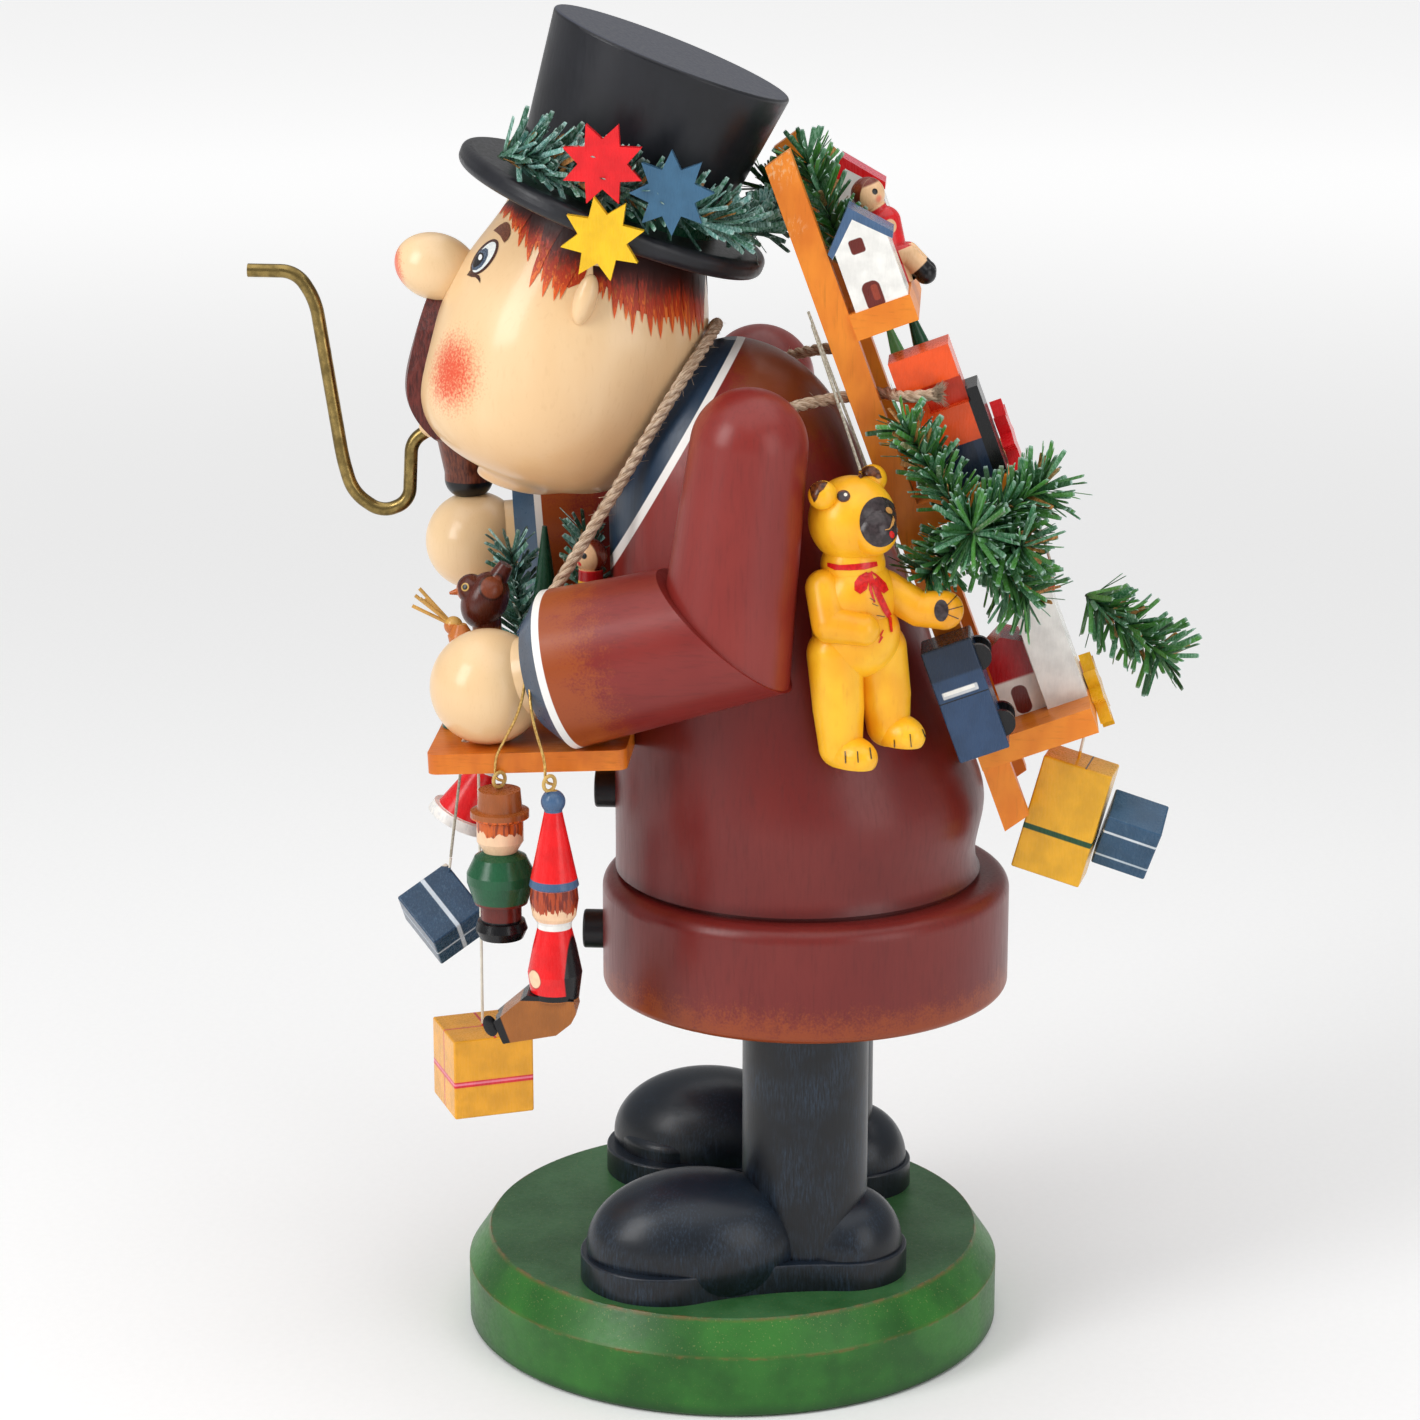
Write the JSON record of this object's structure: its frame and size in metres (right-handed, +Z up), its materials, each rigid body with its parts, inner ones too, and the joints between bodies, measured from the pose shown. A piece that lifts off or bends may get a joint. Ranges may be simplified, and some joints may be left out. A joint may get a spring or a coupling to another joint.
{
  "type": "incense smoker",
  "caption": "Turned wooden incense smoker: a bent toy pedlar in top hat with tray, back rack and hanging toys; the coat lifts off to hold a cone.",
  "frame": {"origin": "centre of the base disc's underside", "axes": "+Z up; the figure faces -Y and its left side is +X"},
  "size_m": [0.135, 0.2301, 0.3307],
  "materials": {
    "base_green": "painted, worn at the edges",
    "boot_blue": "painted with brushed blue",
    "coat_red": "satin varnish with airbrushed shading",
    "skin": "clear varnished beech",
    "ink_black": "satin paint",
    "dark_brown": "stained and brushed",
    "band_green": "satin paint",
    "brass": "dull drawn wire",
    "brass_sheet": "pressed sheet",
    "orange_wood": "stained, with glue patches",
    "jute": "twisted cord",
    "needles": "frosted",
    "star_red": "satin paint",
    "star_blue": "satin paint",
    "star_yellow": "satin paint",
    "cuff_blue": "satin paint",
    "house_white": "satin paint",
    "bear_yellow": "satin paint",
    "coat_green": "satin paint",
    "tree_green": "satin paint",
    "thread": "fine cord and wire"
  },
  "bodies": {
    "stand": {"base_disc": "base_green", "left_boot": "boot_blue", "right_boot": "boot_blue", "left_leg": "boot_blue", "right_leg": "boot_blue", "hem_ring": "coat_red", "hem_button": "ink_black", "incense_dish": "brass_sheet"},
    "figure": {"coat": "coat_red", "coat_button": "ink_black", "head": "skin", "nose": "skin", "ears": "skin", "moustache": "dark_brown", "hat_brim": "ink_black", "hat_crown": "ink_black", "hat_band": "band_green", "hat_sprig": "needles", "hat_star_red": "star_red", "hat_star_blue": "star_blue", "hat_star_yellow": "star_yellow", "left_upper_arm": "coat_red", "left_forearm": "coat_red", "left_hand": "skin", "right_upper_arm": "coat_red", "right_forearm": "coat_red", "right_hand": "skin", "cuffs": "cuff_blue", "pipe_stem": "brass", "pipe_bowl": "dark_brown", "tray": "orange_wood", "neck_rope": "jute", "tray_bird": "dark_brown", "tray_doll": "star_red", "tray_house": "house_white", "tray_tree": "tree_green", "tray_toy": "star_yellow", "tray_sprigs": "needles", "rack_rails": "orange_wood", "upper_shelf": "orange_wood", "middle_shelf": "orange_wood", "lower_shelf": "orange_wood", "shoulder_ropes": "jute", "blue_roof_house": "house_white", "red_roof_house": "house_white", "rack_doll": "star_red", "rack_trees": "tree_green", "toy_wagon": "star_red", "toy_church": "house_white", "toy_truck": "cuff_blue", "rack_stars": "star_red", "rack_sprigs": "needles", "toy_wires": "thread"},
    "bear_hang": {"bear": "bear_yellow"},
    "green_hang": {"green_figure": "coat_green"},
    "puppet_hang": {"red_puppet": "star_red"},
    "front_blue_hang": {"front_blue_parcel": "cuff_blue"},
    "front_yellow_hang": {"front_yellow_parcel": "star_yellow"},
    "parcels_hang": {"back_parcels": "star_yellow"},
    "ornament_hang": {"ornament": "star_red"}
  },
  "joints": [
    {"name": "coat_lift", "type": "slide", "parent": "stand", "child": "figure", "axis": [0, 0, 1], "range_m": [0, 0.08]},
    {"name": "bear_swing", "type": "hinge", "parent": "figure", "child": "bear_hang", "pos_m": [0.04273, 0.0319, 0.2281], "axis": [0, -1, 0], "range_deg": [0, 20]},
    {"name": "green_swing", "type": "hinge", "parent": "figure", "child": "green_hang", "pos_m": [0.0475, -0.0527, 0.1534], "axis": [0.6548, 0.7558, 0], "range_deg": [-12, 12]},
    {"name": "puppet_swing", "type": "hinge", "parent": "figure", "child": "puppet_hang", "pos_m": [0.05887, -0.03955, 0.156], "axis": [0.6548, 0.7558, 0], "range_deg": [-12, 12]},
    {"name": "front_blue_swing", "type": "hinge", "parent": "figure", "child": "front_blue_hang", "pos_m": [0.02, -0.0684, 0.1253], "axis": [0, 1, 0], "range_deg": [-10, 5]},
    {"name": "front_yellow_swing", "type": "hinge", "parent": "figure", "child": "front_yellow_hang", "pos_m": [0.033, -0.0595, 0.1528], "axis": [0, 1, 0], "range_deg": [-4, 4]},
    {"name": "parcels_swing", "type": "hinge", "parent": "figure", "child": "parcels_hang", "pos_m": [0.01, 0.08646, 0.1572], "axis": [1, 0, 0], "range_deg": [-3, 20]},
    {"name": "ornament_swing", "type": "hinge", "parent": "figure", "child": "ornament_hang", "pos_m": [-0.008, -0.063, 0.1522], "axis": [0, 1, 0], "range_deg": [-12, 12]}
  ]
}
